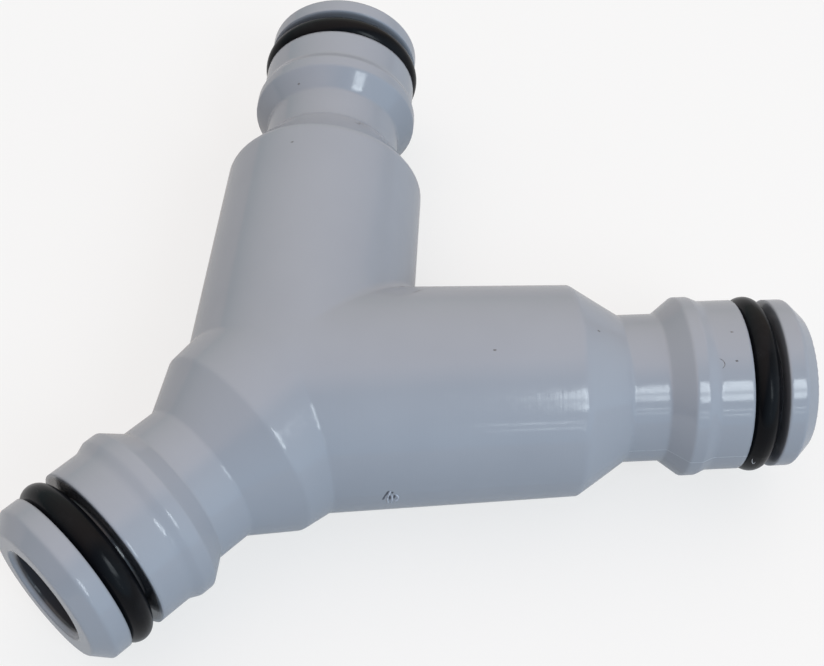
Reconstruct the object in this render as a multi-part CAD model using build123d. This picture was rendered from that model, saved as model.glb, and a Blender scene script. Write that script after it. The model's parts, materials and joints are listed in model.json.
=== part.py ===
from build123d import *
import os
from math import acos, atan2, cos, hypot, radians, sin, tan

# Three-way push-fit hose coupler: one moulded body and three rubber sealing rings.
# The origin is the centre of the stem's open end; the stem runs along Y, the branches fan out
# towards +Y, and the plane of the three bores is Z = 0.

# ---- Layout of the three arms (mm, degrees) ----
branch_angle = 81.5  # between the two long branches, in the plane of the fitting
branch_barrel_length = 25.95  # crossing point of the bores to a branch's shoulder
stem_barrel_length = 6.95  # crossing point of the bores to the stem's shoulder

# ---- Spigot, alike on all three arms; distances run back from the end face ----
bore_radius = 4.3
mouth_round = 0.45  # rounded lip where the bore opens
nose_radius = 7.9
nose_chamfer = 1.45  # 45 degree lead-in, measured along the arm and across it
nose_length = 3.1  # end face to the front wall of the seal groove
groove_width = 3.3
land_radius = 8.0
land_length = 3.2  # plain cylinder behind the groove
collar_radius = 8.45  # latch collar that the coupler's claws snap behind
collar_ramp = 1.0
collar_width = 1.2
catch_length = 1.95  # rear cone of the collar, down to the neck
neck_radius = 6.95
neck_length = 3.5

# ---- Sealing ring ----
ring_section = 2.65
ring_bore_radius = 5.62
ring_seat_gap = 0.02  # between the ring and the groove's floor or wall

# ---- Barrels ----
barrel_radius = 9.95  # of a branch, at its shoulder
stem_step = 0.2  # how much slimmer the stem's barrel is at its shoulder
barrel_draft = 1.35  # degrees, widening towards the middle
branch_shoulder_length = 4.6
stem_shoulder_length = 4.4

# ---- Edge rounding ----
lead_round = 0.35
collar_round = 0.5
ramp_round = 1.2
neck_round = 0.3
shoulder_round = 0.7
crotch_round = 0.9

# ---- Derived places ----
groove_back = nose_length + groove_width
land_back = groove_back + land_length
collar_front = land_back + collar_ramp
collar_back = collar_front + collar_width
neck_front = collar_back + catch_length
neck_back = neck_front + neck_length
groove_radius = ring_bore_radius - ring_seat_gap
branch_length = branch_barrel_length + branch_shoulder_length + neck_back
stem_length = stem_barrel_length + stem_shoulder_length + neck_back
crossing = (0, stem_length, 0)
draft = radians(barrel_draft)
knuckle_radius = barrel_radius * cos(draft) + branch_barrel_length * sin(draft)
arm_turns = {"left": branch_angle / 2, "right": -branch_angle / 2, "stem": 180}
arm_directions = {name: Vector(0, 1, 0).rotate(Axis.Z, turn) for name, turn in arm_turns.items()}
arm_lengths = {"left": branch_length, "right": branch_length, "stem": stem_length}
barrel_lengths = {"left": branch_barrel_length, "right": branch_barrel_length, "stem": stem_barrel_length}
barrel_radii = {"left": barrel_radius, "right": barrel_radius, "stem": barrel_radius - stem_step}
ring_against_nose = {"left": False, "right": False, "stem": True}


def soften(outline, corner, radius):
    """Round the corner of a flat outline that lies nearest to the given point."""
    vertex = outline.vertices().sort_by_distance(Vector(*corner))[0]
    return fillet(vertex, radius)


def barrel_flare(name):
    """Half angle, in radians, at which a barrel runs off the knuckle ball to its shoulder."""
    slant = hypot(barrel_radii[name], barrel_lengths[name])
    return atan2(barrel_lengths[name], barrel_radii[name]) - acos(knuckle_radius / slant)


def arm_outline(name):
    """Half section of one arm, axis along +Y, from behind the knuckle ball to the end face."""
    length = arm_lengths[name]
    flare = barrel_flare(name)
    ball_touch = (knuckle_radius * cos(flare), knuckle_radius * sin(flare))
    shoulder_edge = (barrel_radii[name], barrel_lengths[name])
    neck_foot = (neck_radius, length - neck_back)
    neck_head = (neck_radius, length - neck_front)
    collar_heel = (collar_radius, length - collar_back)
    collar_crest = (collar_radius, length - collar_front)
    ramp_foot = (land_radius, length - land_back)
    nose_edge = (nose_radius, length - nose_chamfer)
    tip_edge = (nose_radius - nose_chamfer, length)
    ball = RadiusArc((0, -knuckle_radius), ball_touch, -knuckle_radius)
    side = Polyline(
        ball_touch,
        shoulder_edge,
        neck_foot,
        neck_head,
        collar_heel,
        collar_crest,
        ramp_foot,
        (land_radius, length - groove_back),
        (groove_radius, length - groove_back),
        (groove_radius, length - nose_length),
        (nose_radius, length - nose_length),
        nose_edge,
        tip_edge,
        (0, length),
        (0, -knuckle_radius),
    )
    outline = make_face([ball, side])
    outline = soften(outline, shoulder_edge, shoulder_round)
    for corner in (neck_foot, neck_head, collar_heel):
        outline = soften(outline, corner, neck_round)
    outline = soften(outline, collar_crest, collar_round)
    outline = soften(outline, ramp_foot, ramp_round)
    for corner in (nose_edge, tip_edge):
        outline = soften(outline, corner, lead_round)
    return outline


def seam_plane(name, other):
    """Flat plane that holds the seam of two barrels which touch one ball; it faces the first."""
    normal = arm_directions[name] / cos(barrel_flare(name)) - arm_directions[other] / cos(barrel_flare(other))
    shift = knuckle_radius * (tan(barrel_flare(name)) - tan(barrel_flare(other)))
    return Plane(origin=Vector(*crossing) + normal * (shift / normal.dot(normal)), z_dir=normal)


def arm(name):
    """One arm, turned into its direction and cut off where its neighbours take over."""
    solid = Pos(*crossing) * Rot(Z=arm_turns[name]) * revolve(arm_outline(name), Axis.Y)
    for other in arm_turns:
        if other != name:
            solid = split(solid, bisect_by=seam_plane(name, other), keep=Keep.TOP)
    return solid


def waterway(name):
    """Straight bore from the crossing point, with a rounded lip at the mouth."""
    length = arm_lengths[name]
    lip = bore_radius + mouth_round
    with BuildSketch() as section:
        with BuildLine():
            Polyline((lip, length), (0, length), (0, 0), (bore_radius, 0), (bore_radius, length - mouth_round))
            RadiusArc((bore_radius, length - mouth_round), (lip, length), -mouth_round)
        make_face()
    return Pos(*crossing) * Rot(Z=arm_turns[name]) * revolve(section.sketch, Axis.Y)


def crotch(solid):
    """The upright seam in the middle plane, where the two branches run into each other."""
    return solid.edges().filter_by(GeomType.ELLIPSE).filter_by(Plane.YZ)


def body():
    """The moulding: three arms round one knuckle, a rounded crotch, three bores that meet inside."""
    outer = arm("left") + arm("right") + arm("stem")
    outer = fillet(crotch(outer), crotch_round)
    meeting = Pos(*crossing) * Sphere(bore_radius)
    return outer - [waterway(name) for name in arm_turns] - meeting


def sealing_ring(name):
    """Rubber ring, pushed against one wall of its groove."""
    half = ring_section / 2
    if ring_against_nose[name]:
        setback = nose_length + ring_seat_gap + half
    else:
        setback = groove_back - ring_seat_gap - half
    ring = Rot(X=90) * Torus(ring_bore_radius + half, half)
    return Pos(*crossing) * Rot(Z=arm_turns[name]) * Pos(Y=arm_lengths[name] - setback) * ring


def write(name, shape):
    """Label the sub-part and write its own STEP file."""
    shape.label = name
    export_step(shape, os.path.join("parts", name + ".step"))


os.makedirs("parts", exist_ok=True)
write("y_body", body())
for arm_name in arm_turns:
    write("o_ring_" + arm_name, sealing_ring(arm_name))
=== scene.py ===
import json
from math import cos, pi, radians, sin

import bmesh
import bpy
from mathutils import Matrix, Vector, noise
from mathutils.bvhtree import BVHTree


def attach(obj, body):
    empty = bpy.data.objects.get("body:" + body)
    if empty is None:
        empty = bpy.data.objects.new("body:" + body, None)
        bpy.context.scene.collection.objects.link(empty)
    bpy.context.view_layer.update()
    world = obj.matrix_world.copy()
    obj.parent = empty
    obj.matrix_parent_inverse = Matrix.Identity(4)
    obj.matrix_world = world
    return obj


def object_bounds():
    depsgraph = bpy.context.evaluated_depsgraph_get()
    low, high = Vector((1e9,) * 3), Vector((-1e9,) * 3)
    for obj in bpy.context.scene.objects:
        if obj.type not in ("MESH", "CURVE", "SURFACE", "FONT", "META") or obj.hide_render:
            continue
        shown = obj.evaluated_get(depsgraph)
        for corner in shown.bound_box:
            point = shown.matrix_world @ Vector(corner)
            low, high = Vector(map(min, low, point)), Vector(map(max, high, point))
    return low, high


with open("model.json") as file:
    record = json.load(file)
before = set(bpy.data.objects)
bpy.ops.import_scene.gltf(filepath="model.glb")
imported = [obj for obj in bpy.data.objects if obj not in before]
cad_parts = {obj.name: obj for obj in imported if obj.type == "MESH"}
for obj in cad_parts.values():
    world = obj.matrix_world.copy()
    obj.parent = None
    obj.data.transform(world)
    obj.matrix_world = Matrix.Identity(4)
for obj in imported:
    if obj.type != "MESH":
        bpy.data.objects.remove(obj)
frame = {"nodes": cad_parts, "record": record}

# A moulded three-way hose coupler with its three rubber rings, on a pale floor in studio light.
# Lengths that end in _mm are millimetres, all other lengths are metres, and places in the
# picture are pixels from its top left corner.

MM = 0.001
cad_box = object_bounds()
record = frame["record"]
body_node = frame["nodes"]["y_body"]
ring_nodes = {name: node for name, node in frame["nodes"].items() if name.startswith("o_ring_")}
bores = {
    mount["name"].removesuffix("_bore"): mount
    for mount in record["mounts"]
    if mount["kind"] == "bore"
}
arm_directions = {name: Vector(bore["axis"]).normalized() for name, bore in bores.items()}
lip_mm = 0.45  # a mouth's rounded lip, which its bore's length leaves out
arm_lengths_mm = {name: bore["dims"]["length_mm"] + lip_mm for name, bore in bores.items()}
crossing = Vector((0, arm_lengths_mm["stem"] * MM, 0))

# ---- Camera ----
picture_width = 824
picture_height = 666
camera_place_mm = Vector((58.099, -20.201, 115.742))
camera_right = Vector((0.70564, 0.70749, 0.03898)).normalized()
camera_back = camera_right.cross(Vector((-0.58990, 0.55610, 0.58546))).normalized()
camera_up = camera_back.cross(camera_right)
camera_lens_mm = 64.67
sensor_width_mm = 36.0
camera_clip_start = 0.005

# ---- Light: directions are azimuth from +X and elevation, in degrees ----
# Places on the window's plane are metres from the line straight out of the aim: right and up, for
# someone behind the window who faces the object. Each cut is an edge from one place to another,
# and the window is lit on the left of it.
aim = Vector((0, 0.04, 0))
window_direction = (-8.0, 46.0)
window_distance = 0.6
window_left = -0.140
window_right = 0.080
window_bottom = -0.165
window_top = 0.135
window_cuts = (
    ((-0.090, 0.052), (-0.136, -0.118)),
    ((-0.056, 0.074), (-0.090, 0.052)),
    ((-0.021, 0.122), (-0.056, 0.074)),
    ((0.172, -0.068), (0.028, 0.070)),
    ((-0.136, -0.118), (-0.065, -0.165)),
)
window_edge = 0.006  # half the width over which an edge fades
window_bar = (-0.092, -0.040)  # lower and upper edge of the leaning bar across the panes
bar_share = 0.45  # of the window's light that is left on the bar
window_gain = (0.78, 1.3)  # share of the light at the window's left and right end
window_radiance = 6.9
window_tint = (0.86, 0.95, 1.0)
slat_size = (0.20, 0.014)
slat_shifts = ((-0.15, -0.277), (-0.17, -0.366))
slat_lean = -29.0  # of the slats and of the window's bar, in degrees
slat_radiance = 5.2
overhead_slope = (0.10, 0.46)  # X over Z where the overhead light starts to fade, and where it ends
overhead_strength = 1.24
overhead_tint = (1.0, 0.82, 0.74)
side_strengths = {("X", 1): 1.28, ("X", -1): 0.42, ("Y", 1): 0.40}
side_tints = {
    ("X", 1): (0.65, 0.83, 1.0),
    ("X", -1): (0.60, 0.95, 1.0),
    ("Y", 1): (1.0, 0.86, 0.68),
}

# ---- Finishes: colours, roughness and the light off them ----
plastic_light = (0.332, 0.357, 0.408)
plastic_deep = (0.314, 0.339, 0.389)
# Painted shade: base colour for the ring grooves' walls and floor, and for the inside of the bores
painted_groove_shade = (0.045, 0.047, 0.055)
painted_bore_shade = (0.055, 0.056, 0.064)
rubber_black = (0.0028, 0.0032, 0.0045)
rubber_worn = (0.0075, 0.0080, 0.0100)
plastic_spread = (0.35, 0.65)  # of the noise, stretched over the two tones
bloom_spread = (0.5, 0.75)
mark_spread = (0.4, 0.6)
torn_tones = ((0.42, 0.46, 0.53), (0.60, 0.64, 0.74))
# Paler than the body: painted light, so that the parting ridge reads as a pale line
painted_light_flash_tones = ((0.36, 0.39, 0.44), (0.44, 0.47, 0.52))
# Painted shade: dark flakes flush with the skin where the scar's small pits are
painted_pit_shade_tones = ((0.055, 0.060, 0.072), (0.10, 0.11, 0.14))
speck_tones = ((0.10, 0.098, 0.105), (0.19, 0.19, 0.20))
dust_tones = ((0.30, 0.31, 0.33), (0.50, 0.50, 0.52))
torn_roughness = 0.35
flash_roughness = 0.3
pit_shade_roughness = 0.6
speck_roughness = 0.5
dust_roughness = 0.6
plain_white = (1, 1, 1, 1)
floor_white = (0.80, 0.80, 0.80)
floor_darkest = 0.985  # of the floor's white, in its faint clouding
floor_bounce = (0.46, 0.47, 0.48)  # what the floor throws back at the object
floor_glow = 0.7  # share of plain white in what the camera sees of the floor
floor_in_gloss = 0.3  # share of that floor that shows in glossy reflections
floor_size = 6
plastic_polish = (0.05, 0.16)  # roughness, from the smoothest patches to the dullest
rubber_polish = (0.20, 0.30)
rubber_shine = 0.12

# ---- Grain: lumps to the metre, and bumps as height in millimetres and strength ----
cloud_roughness = 0.55
plastic_clouds = 70
polish_clouds = 2200
turning_lines = 3400
peel_lumps = 900
bloom_clouds = 420
rubber_lumps = 2600
mark_lumps = 3500
floor_clouds = 40
turning_bump = (0.004, 0.5)
peel_bump = (0.012, 0.25)
rubber_bump = (0.01, 0.35)
mark_bump = (0.02, 0.5)

# ---- Zones of the body's material, by place on its arms ----
groove_from_tip_mm = (3.08, 6.42)
groove_fade_mm = 0.05
# Painted shade in the ring grooves and the bores, by distance from the arm's axis
groove_radii_mm = (7.35, 7.8)  # full painted shade up to the first, none from the second
bore_radii_mm = (4.35, 4.7)
shoulder_from_tip_mm = 21.85
shoulder_reach_mm = (1.1, 1.5)  # either side of the edge, where the wide rounding fades
branch_run_mm = (20, 21)  # from the crossing: the stem's shoulder lies nearer to it
edge_radius_mm = 0.45
shoulder_edge_radius_mm = 1.0
edge_samples = 8

# ---- Mould parting line ----
ridge_half_width_mm = 0.07
ridge_height_mm = 0.014
ridge_root_mm = 0.03
ridge_crest_share = 0.25
ridge_from_tip_mm = (6.45, 17.25)
skin_radius_mm = 6.0  # more than any bore's radius and less than the skin's
weld_steps = 1e7  # to the metre: points that round to one step are one point

# ---- Small marks, by their place in the picture; sizes are width and height ----
gate_strands = (
    ((390.8, 491.0), (388.3, 495.6), (387.6, 500.4), (388.8, 502.8)),
    ((391.8, 494.5), (391.9, 499.0), (390.8, 502.8)),
    ((395.3, 494.3), (398.1, 496.4), (397.3, 499.1), (394.4, 501.0)),
)
# Places of the painted shade of the scar's small pits
gate_pit_shades = (
    ((388.8, 490.8), (386.4, 494.2), (384.3, 496.8)),
    ((384.6, 496.2), (383.0, 499.6)),
    ((389.8, 495.6), (389.6, 499.4)),
    ((394.6, 495.0), (394.2, 498.4)),
    ((392.6, 491.7), (392.1, 493.5)),
)
strand_size_mm = (0.16, 0.11)
pit_shade_size_mm = (0.27, 0.012)
speck_pixels = {
    "shoulder": (599, 331),
    "land_front": (732, 332),
    "land_side": (737, 361),
    "barrel": (495, 350),
    "collar": (299, 84),
    "left_shoulder": (292, 142),
}
speck_corners = 9
speck_seed = (3.1, 1.7, 0.5)
speck_reach_mm = 0.11
speck_unevenness_mm = 0.06
speck_stretch = (1.5, 0.8)
speck_crest_mm = 0.022
speck_rim_mm = 0.004
scratch_size_mm = (0.11, 0.012)
scuff_size_mm = (0.16, 0.012)
dash_size_mm = (0.12, 0.012)
fibre_size_mm = (0.09, 0.05)
thread_steps = 6
thread_sunk_mm = 0.01
thread_crest_share = 0.5
thread_ends = (0.7, 0.4)  # keep a thread's ends from tapering to nothing
scratch_pixels = ((719.5, 358.5), (723.5, 361.0), (725.0, 365.0), (722.5, 368.5))
scuff_pixels = ((355, 122), (358.5, 124), (361, 123), (366, 126.5))
dash_pixels = ((412.5, 292.5), (417, 291.5), (422.5, 289.5))
fibre_pixels = ((752.5, 458.5), (752.0, 461.5), (753.5, 463.5), (755.5, 462.0))


# ---------------------------------------------------------------- camera

def place_camera():
    """Camera at the photograph's viewpoint, with its lens."""
    data = bpy.data.cameras.new("camera")
    data.lens = camera_lens_mm
    data.sensor_width = sensor_width_mm
    data.clip_start = camera_clip_start
    camera = bpy.data.objects.new("camera", data)
    turn = Matrix((camera_right, camera_up, camera_back)).transposed()
    camera.matrix_world = Matrix.Translation(camera_place_mm * MM) @ turn.to_4x4()
    bpy.context.scene.collection.objects.link(camera)
    bpy.context.scene.camera = camera


def pixel_ray(pixel):
    """Direction from the camera through a place in the picture."""
    scale = sensor_width_mm / camera_lens_mm / picture_width
    across = (pixel[0] - picture_width / 2) * scale
    down = (pixel[1] - picture_height / 2) * scale
    return (camera_right * across - camera_up * down - camera_back).normalized()


class Skin:
    """A node's surface, for seating small pieces on it."""

    def __init__(self, node):
        places = [vertex.co for vertex in node.data.vertices]
        faces = [polygon.vertices for polygon in node.data.polygons]
        self.tree = BVHTree.FromPolygons(places, faces)

    def under(self, pixel):
        """Place and outward direction of the surface that the camera sees at a pixel."""
        place, normal, _, _ = self.tree.ray_cast(camera_place_mm * MM, pixel_ray(pixel))
        return place, normal

    def nearest(self, place):
        """Nearest place of the surface, and its outward direction."""
        spot, normal, _, _ = self.tree.find_nearest(place)
        return spot, normal


# ---------------------------------------------------------------- node helpers

def add_node(tree, kind, inputs=None, **settings):
    """A new shader node with its settings made and its sockets filled or linked."""
    made = tree.nodes.new(kind)
    for key, value in settings.items():
        setattr(made, key, value)
    for key, value in (inputs or {}).items():
        if isinstance(value, bpy.types.NodeSocket):
            tree.links.new(value, made.inputs[key])
        else:
            made.inputs[key].default_value = value
    return made


def new_material(name, roughness=0.5):
    """A node material, its tree and its Principled shader."""
    material = bpy.data.materials.new(name)
    material.use_nodes = True
    shader = material.node_tree.nodes["Principled BSDF"]
    shader.inputs["Roughness"].default_value = roughness
    return material, material.node_tree, shader


def cloud(tree, place, scale, detail=3.0):
    """Soft noise, 0 to 1, with so many lumps to the metre."""
    inputs = {"Vector": place, "Scale": scale, "Detail": detail, "Roughness": cloud_roughness}
    return add_node(tree, "ShaderNodeTexNoise", inputs).outputs["Fac"]


def remap(tree, value, low, high, to_low, to_high):
    """A value's range stretched to another one."""
    inputs = {
        "Value": value,
        "From Min": low,
        "From Max": high,
        "To Min": to_low,
        "To Max": to_high,
    }
    return add_node(tree, "ShaderNodeMapRange", inputs).outputs["Result"]


def blend_colours(tree, share, first, second):
    """The first colour where share is 0, the second where it is 1."""
    mixed = add_node(tree, "ShaderNodeMix", {"Factor": share}, data_type="RGBA")
    for socket, colour in ((mixed.inputs[6], first), (mixed.inputs[7], second)):
        if isinstance(colour, bpy.types.NodeSocket):
            tree.links.new(colour, socket)
        else:
            socket.default_value = (*colour, 1)
    return mixed.outputs[2]


def bump(tree, height, size, normal=None):
    """Shading normal over a relief; size is its height in millimetres and its strength."""
    inputs = {"Height": height, "Distance": size[0] * MM, "Strength": size[1]}
    if normal is not None:
        inputs["Normal"] = normal
    return add_node(tree, "ShaderNodeBump", inputs).outputs["Normal"]


def combine(tree, operation, first, second):
    """One step of arithmetic on two values."""
    inputs = {0: first, 1: second}
    return add_node(tree, "ShaderNodeMath", inputs, operation=operation).outputs["Value"]


def combine_vectors(tree, operation, first, second):
    """One step of arithmetic on two vectors: the node's outputs."""
    inputs = {0: first, 1: second}
    return add_node(tree, "ShaderNodeVectorMath", inputs, operation=operation).outputs


# ---------------------------------------------------------------- materials

def arm_coordinates(tree, place):
    """How far a point is along its arm from the crossing, past the arm's tip, and off its axis."""
    local = combine_vectors(tree, "SUBTRACT", place, crossing)["Vector"]
    run = None
    tip = None
    for name, direction in arm_directions.items():
        this_run = combine_vectors(tree, "DOT_PRODUCT", local, direction)["Value"]
        this_tip = combine(tree, "SUBTRACT", this_run, arm_lengths_mm[name] * MM)
        run = this_run if run is None else combine(tree, "MAXIMUM", run, this_run)
        tip = this_tip if tip is None else combine(tree, "MAXIMUM", tip, this_tip)
    length_squared = combine_vectors(tree, "DOT_PRODUCT", local, local)["Value"]
    run_squared = combine(tree, "MULTIPLY", run, run)
    across_squared = combine(tree, "SUBTRACT", length_squared, run_squared)
    across = combine(tree, "POWER", combine(tree, "MAXIMUM", across_squared, 0.0), 0.5)
    return run, tip, across


def painted_shade_in_grooves(tree, tip, radius):
    """Share of painted shade: 1 on the walls and floor of the ring grooves, below the land's rim,
    else 0.
    """
    front, back = groove_from_tip_mm
    behind_nose = remap(tree, tip, -front * MM, -(front + groove_fade_mm) * MM, 0, 1)
    before_land = remap(tree, tip, -(back + groove_fade_mm) * MM, -back * MM, 0, 1)
    sunk = remap(tree, radius, groove_radii_mm[0] * MM, groove_radii_mm[1] * MM, 1, 0)
    return combine(tree, "MULTIPLY", combine(tree, "MULTIPLY", behind_nose, before_land), sunk)


def eased_edges(tree, run, tip):
    """Shading normal that softens edges, most of all the branches' shoulder edge."""
    past_shoulder = combine(tree, "ADD", tip, shoulder_from_tip_mm * MM)
    from_shoulder = combine(tree, "ABSOLUTE", past_shoulder, 0.0)
    reach = [length * MM for length in shoulder_reach_mm]
    near_shoulder = remap(tree, from_shoulder, *reach, 1, 0)
    on_branch = remap(tree, run, branch_run_mm[0] * MM, branch_run_mm[1] * MM, 0, 1)
    share = combine(tree, "MULTIPLY", near_shoulder, on_branch)
    radius = remap(tree, share, 0, 1, edge_radius_mm * MM, shoulder_edge_radius_mm * MM)
    eased = add_node(tree, "ShaderNodeBevel", {"Radius": radius}, samples=edge_samples)
    return eased.outputs["Normal"]


def gloss_plastic():
    """Pale blue-grey moulded plastic: faint clouding, orange peel, turning marks of the mould."""
    material, tree, shader = new_material("gloss_plastic")
    place = add_node(tree, "ShaderNodeTexCoord").outputs["Object"]
    clouding = remap(tree, cloud(tree, place, plastic_clouds), *plastic_spread, 0, 1)
    colour = blend_colours(tree, clouding, plastic_deep, plastic_light)
    run, tip, radius = arm_coordinates(tree, place)
    # Painted shade: the ring grooves darkened in the base colour
    colour = blend_colours(tree, painted_shade_in_grooves(tree, tip, radius), colour, painted_groove_shade)
    # Painted shade: the inside of each bore darkened in the base colour
    painted_bore_shade_share = remap(tree, radius, bore_radii_mm[0] * MM, bore_radii_mm[1] * MM, 1, 0)
    colour = blend_colours(tree, painted_bore_shade_share, colour, painted_bore_shade)
    tree.links.new(colour, shader.inputs["Base Color"])
    dulling = cloud(tree, place, polish_clouds, 4)
    polish = remap(tree, dulling, *plastic_spread, *plastic_polish)
    tree.links.new(polish, shader.inputs["Roughness"])
    inputs = {"W": run, "Scale": turning_lines, "Detail": 2}
    turning = add_node(tree, "ShaderNodeTexNoise", inputs, noise_dimensions="1D").outputs["Fac"]
    turned = bump(tree, turning, turning_bump, eased_edges(tree, run, tip))
    peeled = bump(tree, cloud(tree, place, peel_lumps, 2), peel_bump, turned)
    tree.links.new(peeled, shader.inputs["Normal"])
    return material


def satin_rubber():
    """Black ring rubber: satin, slightly uneven, with a dull bloom in patches."""
    material, tree, shader = new_material("satin_rubber")
    shader.inputs["Specular IOR Level"].default_value = rubber_shine
    place = add_node(tree, "ShaderNodeTexCoord").outputs["Object"]
    bloom = remap(tree, cloud(tree, place, bloom_clouds, 5), *bloom_spread, 0, 1)
    colour = blend_colours(tree, bloom, rubber_black, rubber_worn)
    tree.links.new(colour, shader.inputs["Base Color"])
    tree.links.new(remap(tree, bloom, 0, 1, *rubber_polish), shader.inputs["Roughness"])
    relief = cloud(tree, place, rubber_lumps, 3)
    tree.links.new(bump(tree, relief, rubber_bump), shader.inputs["Normal"])
    return material


def mark_material(name, tones, roughness):
    """Uneven finish of a small mark, from its dark to its pale tone."""
    material, tree, shader = new_material(name, roughness)
    place = add_node(tree, "ShaderNodeTexCoord").outputs["Object"]
    patches = remap(tree, cloud(tree, place, mark_lumps, 3), *mark_spread, 0, 1)
    tree.links.new(blend_colours(tree, patches, *tones), shader.inputs["Base Color"])
    tree.links.new(bump(tree, patches, mark_bump), shader.inputs["Normal"])
    return material


def dress(node, material):
    """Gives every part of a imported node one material."""
    for slot in node.material_slots:
        slot.material = material


# ---------------------------------------------------------------- pieces

def add_piece(name, vertices, faces, material):
    """A new smooth mesh piece that belongs to the fitting and moves with it."""
    mesh = bpy.data.meshes.new(name)
    mesh.from_pydata([tuple(vertex) for vertex in vertices], [], faces)
    mesh.update()
    mesh.shade_smooth()
    piece = bpy.data.objects.new(name, mesh)
    bpy.context.scene.collection.objects.link(piece)
    mesh.materials.append(material)
    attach(piece, "root")


def off_axis(place):
    """Offset of a place from the axis of the arm that it belongs to."""
    local = place - crossing
    direction = max(arm_directions.values(), key=local.dot)
    return local - direction * local.dot(direction)


def carries_ridge(place):
    """True on the right arm from its land to the foot of its neck, where the line is seen."""
    run = (place - crossing).dot(arm_directions["right"])
    from_tip = arm_lengths_mm["right"] - run / MM
    return ridge_from_tip_mm[0] < from_tip < ridge_from_tip_mm[1]


def parting_edges():
    """Pairs of points where that stretch of skin crosses the parting plane, Z = 0."""
    section = bmesh.new()
    section.from_mesh(body_node.data)
    everything = section.verts[:] + section.edges[:] + section.faces[:]
    cut = bmesh.ops.bisect_plane(section, geom=everything, plane_co=(0, 0, 0), plane_no=(0, 0, 1))
    pairs = []
    for edge in cut["geom_cut"]:
        if isinstance(edge, bmesh.types.BMEdge):
            ends = [vertex.co.copy() for vertex in edge.verts]
            middle = (ends[0] + ends[1]) / 2
            if off_axis(middle).length > skin_radius_mm * MM and carries_ridge(middle):
                pairs.append(ends)
    section.free()
    return pairs


def weld_key(point):
    """The same for all points of the parting plane that round to one weld step."""
    return round(point.x * weld_steps), round(point.y * weld_steps)


def build_parting_line(material):
    """Fine ridge left where the two mould halves meet, on both sides of the right arm."""
    places = {}
    outward = {}
    links = {}
    for start, end in parting_edges():
        along = end - start
        side = Vector((along.y, -along.x, 0))
        if side.dot(off_axis((start + end) / 2)) < 0:
            start, end = end, start
            side.negate()
        keys = tuple(weld_key(point) for point in (start, end))
        if keys[0] == keys[1] or keys in links:
            continue
        links[keys] = True
        for key, point in zip(keys, (start, end)):
            places[key] = Vector((point.x, point.y, 0))
            outward[key] = outward.get(key, Vector()) + side.normalized()
    order = {key: number for number, key in enumerate(places)}
    vertices = []
    for key, point in places.items():
        way = outward[key].normalized()
        root = point - way * ridge_root_mm * MM
        crest = point + way * ridge_height_mm * MM
        rise = Vector((0, 0, ridge_half_width_mm * MM))
        crest_rise = rise * ridge_crest_share
        vertices += [root + rise, crest + crest_rise, crest - crest_rise, root - rise]
    faces = []
    for first, second in links:
        a = order[first] * 4
        b = order[second] * 4
        faces += [(a + k, b + k, b + k + 1, a + k + 1) for k in range(3)]
    add_piece("parting_line", vertices, faces, material)


def build_specks(skin, material):
    """Specks caught in the plastic: thin uneven flakes flush with the skin."""
    vertices = []
    faces = []
    for number, pixel in enumerate(speck_pixels.values()):
        place, normal = skin.under(pixel)
        side = normal.orthogonal().normalized()
        other = normal.cross(side)
        base = len(vertices)
        vertices.append(place + normal * speck_crest_mm * MM)
        for k in range(speck_corners):
            turn = 2 * pi * k / speck_corners
            chance = noise.noise(Vector((number * speck_seed[0], k * speck_seed[1], speck_seed[2])))
            reach = (speck_reach_mm + speck_unevenness_mm * chance) * MM
            across = side * cos(turn) * speck_stretch[0] + other * sin(turn) * speck_stretch[1]
            spot, way = skin.nearest(place + across * reach)
            vertices.append(spot + way * speck_rim_mm * MM)
        rim = base + 1
        faces += [(base, rim + k, rim + (k + 1) % speck_corners) for k in range(speck_corners)]
    add_piece("specks", vertices, faces, material)


def smooth_route(knots):
    """Points of a smooth curve through the knots."""
    route = []
    for k in range(len(knots) - 1):
        start = knots[k]
        end = knots[k + 1]
        leaving = (end - knots[max(k - 1, 0)]) / 2
        arriving = (knots[min(k + 2, len(knots) - 1)] - start) / 2
        for step in range(thread_steps):
            t = step / thread_steps
            point = start * (2 * t**3 - 3 * t**2 + 1) + leaving * (t**3 - 2 * t**2 + t)
            route.append(point + end * (3 * t**2 - 2 * t**3) + arriving * (t**3 - t**2))
    route.append(knots[-1])
    return route


def build_thread(name, skin, pixels, size_mm, material):
    """A fine tapered line that lies on the skin along a few places of the picture."""
    width_mm, height_mm = size_mm
    route = smooth_route([skin.under(pixel)[0] for pixel in pixels])
    vertices = []
    for number, point in enumerate(route):
        spot, normal = skin.nearest(point)
        ahead = route[min(number + 1, len(route) - 1)] - route[max(number - 1, 0)]
        side = ahead.cross(normal).normalized()
        share = (number + thread_ends[0]) / (len(route) + thread_ends[1])
        taper = sin(pi * share) ** 0.5
        half = side * width_mm * MM * taper / 2
        crest = normal * height_mm * MM * taper
        sunk = -normal * thread_sunk_mm * MM
        shoulder = half * thread_crest_share
        vertices += [spot + half + sunk, spot + shoulder + crest]
        vertices += [spot - shoulder + crest, spot - half + sunk]
    faces = []
    for number in range(len(route) - 1):
        a = number * 4
        faces += [(a + k, a + 4 + k, a + 5 + k, a + 1 + k) for k in range(3)]
    add_piece(name, vertices, faces, material)


def build_gate_scar(skin, torn, pit_shade_finish):
    """Where the sprue was broken off: pale torn strands standing between small flat flakes of
    painted pit shade.
    """
    for number, pixels in enumerate(gate_pit_shades):
        build_thread("gate_pit_%d" % number, skin, pixels, pit_shade_size_mm, pit_shade_finish)
    for number, pixels in enumerate(gate_strands):
        build_thread("gate_strand_%d" % number, skin, pixels, strand_size_mm, torn)


# ---------------------------------------------------------------- floor, lamps and sky

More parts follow.
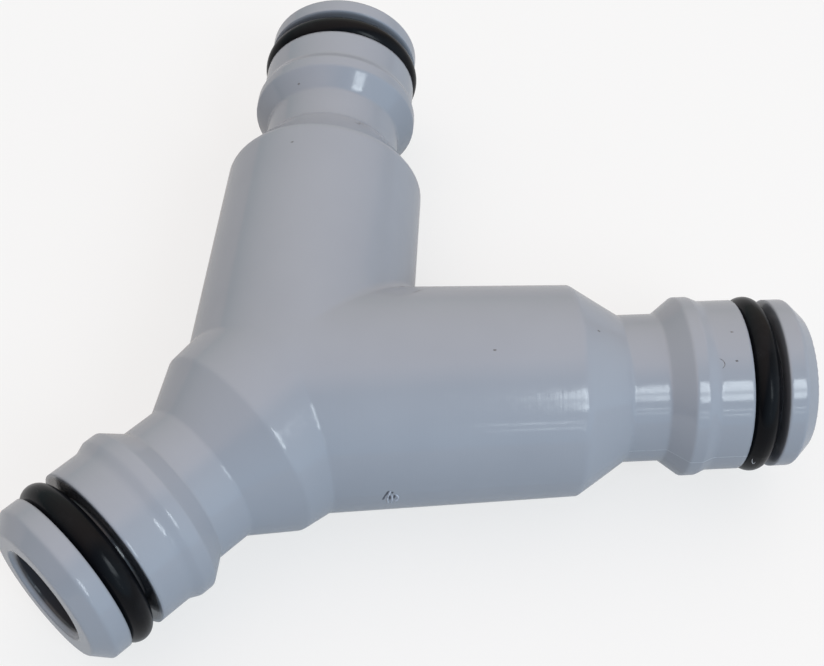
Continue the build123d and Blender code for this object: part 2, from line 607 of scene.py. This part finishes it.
def pale_floor(height):
    """White floor that keeps the shadow; the camera sees it a little lifted towards white."""
    material, tree, shader = new_material("floor")
    tree.nodes.remove(shader)
    place = add_node(tree, "ShaderNodeTexCoord").outputs["Object"]
    direct = seen_directly(tree)
    darkest = tuple(value * floor_darkest for value in floor_white)
    tone = blend_colours(tree, cloud(tree, place, floor_clouds), floor_white, darkest)
    tone = blend_colours(tree, direct, floor_bounce, tone)
    matte = add_node(tree, "ShaderNodeBsdfDiffuse", {"Color": tone})
    white = add_node(tree, "ShaderNodeEmission", {"Color": plain_white})
    glow = combine(tree, "MULTIPLY", direct, floor_glow)
    inputs = {0: glow, 1: matte.outputs["BSDF"], 2: white.outputs["Emission"]}
    mixed = add_node(tree, "ShaderNodeMixShader", inputs)
    tree.links.new(mixed.outputs["Shader"], tree.nodes["Material Output"].inputs["Surface"])
    bpy.ops.mesh.primitive_plane_add(size=floor_size, location=(0, 0, height))
    floor = bpy.context.object
    floor.name = "floor"
    floor.data.materials.append(material)


def seen_directly(tree):
    """1 for what the camera sees itself or through glass, less in gloss, else 0."""
    path = add_node(tree, "ShaderNodeLightPath").outputs
    plain = combine(tree, "MAXIMUM", path["Is Camera Ray"], path["Is Transmission Ray"])
    in_gloss = combine(tree, "MULTIPLY", path["Is Glossy Ray"], floor_in_gloss)
    return combine(tree, "MAXIMUM", plain, in_gloss)


def heading(azimuth, elevation):
    """Unit vector for an azimuth from +X and an elevation, in degrees."""
    level = cos(radians(elevation))
    turn = radians(azimuth)
    return Vector((level * cos(turn), level * sin(turn), sin(radians(elevation))))


def add_lamp(name, place, turn, size, radiance, tint):
    """Rectangular lamp that the camera can't see; its width runs along its own X."""
    data = bpy.data.lights.new(name, "AREA")
    data.shape = "RECTANGLE"
    data.size, data.size_y = size
    data.color = tint
    data.energy = radiance * pi * size[0] * size[1]
    lamp = bpy.data.objects.new(name, data)
    lamp.matrix_world = Matrix.Translation(place) @ turn.to_4x4()
    lamp.visible_camera = False
    bpy.context.scene.collection.objects.link(lamp)
    return data


def past_edge(tree, place, way, edge, before, after):
    """Fades from one value to another where a place on the window passes an edge on its way."""
    passed = combine_vectors(tree, "DOT_PRODUCT", place, way)["Value"]
    at_edge = edge - way.dot(Vector((window_left, window_bottom, 0)))
    return remap(tree, passed, at_edge - window_edge, at_edge + window_edge, before, after)


def shape_window(data):
    """Dims the window outside its slanting edges and on its bar, and more towards its left."""
    data.use_nodes = True
    tree = data.node_tree
    share = add_node(tree, "ShaderNodeNewGeometry").outputs["Parametric"]
    size = (window_right - window_left, window_top - window_bottom, 0)
    place = combine_vectors(tree, "MULTIPLY", share, size)["Vector"]
    across = add_node(tree, "ShaderNodeSeparateXYZ", {"Vector": share}).outputs["X"]
    lit = remap(tree, across, 0, 1, *window_gain)
    for first, second in window_cuts:
        along = Vector((second[0] - first[0], second[1] - first[1], 0)).normalized()
        inward = Vector((-along.y, along.x, 0))
        edge = inward.dot(Vector((*first, 0)))
        lit = combine(tree, "MULTIPLY", lit, past_edge(tree, place, inward, edge, 0, 1))
    upward = Vector((-sin(radians(slat_lean)), cos(radians(slat_lean)), 0))
    under = past_edge(tree, place, upward, window_bar[0], 1, bar_share)
    over = past_edge(tree, place, upward, window_bar[1], bar_share, 1)
    lit = combine(tree, "MULTIPLY", lit, combine(tree, "MAXIMUM", under, over))
    tree.links.new(lit, tree.nodes["Emission"].inputs["Strength"])


def light_the_set():
    """The window and its two slats, all on one plane that faces the aim."""
    towards = heading(*window_direction)
    level = Vector((0, 0, 1)).cross(towards).normalized()
    upright = towards.cross(level)
    turn = Matrix((level, upright, towards)).transposed()
    middle = aim + towards * window_distance

    def beside(shift):
        """Place on the window's plane, so far right and up."""
        return middle + level * shift[0] + upright * shift[1]

    window_middle = ((window_left + window_right) / 2, (window_bottom + window_top) / 2)
    window_size = (window_right - window_left, window_top - window_bottom)
    place = beside(window_middle)
    shape_window(add_lamp("window", place, turn, window_size, window_radiance, window_tint))
    leaning = turn @ Matrix.Rotation(radians(slat_lean), 3, "Z")
    for number, shift in enumerate(slat_shifts):
        place = beside(shift)
        add_lamp("slat_%d" % number, place, leaning, slat_size, slat_radiance, window_tint)


def hang_sky():
    """Soft light from all round, and plain white where the camera sees past the floor."""
    world = bpy.data.worlds.new("world")
    bpy.context.scene.world = world
    world.use_nodes = True
    tree = world.node_tree
    direction = add_node(tree, "ShaderNodeTexCoord").outputs["Generated"]
    parts = add_node(tree, "ShaderNodeSeparateXYZ", {"Vector": direction}).outputs
    slope = combine(tree, "DIVIDE", parts["X"], parts["Z"])
    height = remap(tree, parts["Z"], 0, 1, 0, overhead_strength)
    overhead = combine(tree, "MULTIPLY", remap(tree, slope, *overhead_slope, 1, 0), height)
    lit = tree.nodes["Background"]
    lit.inputs["Color"].default_value = (*overhead_tint, 1)
    tree.links.new(overhead, lit.inputs["Strength"])
    glow = lit.outputs["Background"]
    for (axis, sign), strength in side_strengths.items():
        share = remap(tree, parts[axis], 0, sign, 0, strength)
        inputs = {"Color": (*side_tints[axis, sign], 1), "Strength": share}
        side = add_node(tree, "ShaderNodeBackground", inputs).outputs["Background"]
        glow = add_node(tree, "ShaderNodeAddShader", {0: glow, 1: side}).outputs["Shader"]
    white = add_node(tree, "ShaderNodeBackground", {"Color": plain_white})
    camera_only = add_node(tree, "ShaderNodeLightPath").outputs["Is Camera Ray"]
    inputs = {0: camera_only, 1: glow, 2: white.outputs["Background"]}
    mixed = add_node(tree, "ShaderNodeMixShader", inputs)
    tree.links.new(mixed.outputs["Shader"], tree.nodes["World Output"].inputs["Surface"])


# ---------------------------------------------------------------- assembly

place_camera()
plastic = gloss_plastic()
rubber = satin_rubber()
dress(body_node, plastic)
for ring in ring_nodes.values():
    dress(ring, rubber)

torn_plastic = mark_material("torn_plastic", torn_tones, torn_roughness)
# The parting ridge's finish, paler than the body: painted light
flash_with_painted_light = mark_material("flash_with_painted_light", painted_light_flash_tones, flash_roughness)
# Painted shade for the scar's pits
painted_pit_shade = mark_material("painted_pit_shade", painted_pit_shade_tones, pit_shade_roughness)
speck_finish = mark_material("speck", speck_tones, speck_roughness)
dust_finish = mark_material("dust", dust_tones, dust_roughness)

body_skin = Skin(body_node)
right_ring_skin = Skin(ring_nodes["o_ring_right"])
build_parting_line(flash_with_painted_light)
build_gate_scar(body_skin, torn_plastic, painted_pit_shade)
build_specks(body_skin, speck_finish)
build_thread("scratch", body_skin, scratch_pixels, scratch_size_mm, speck_finish)
build_thread("scuff", body_skin, scuff_pixels, scuff_size_mm, speck_finish)
build_thread("dash", body_skin, dash_pixels, dash_size_mm, speck_finish)
build_thread("ring_fibre", right_ring_skin, fibre_pixels, fibre_size_mm, dust_finish)

pale_floor(cad_box[0][2])
light_the_set()
hang_sky()
bpy.context.scene.view_settings.view_transform = "Standard"
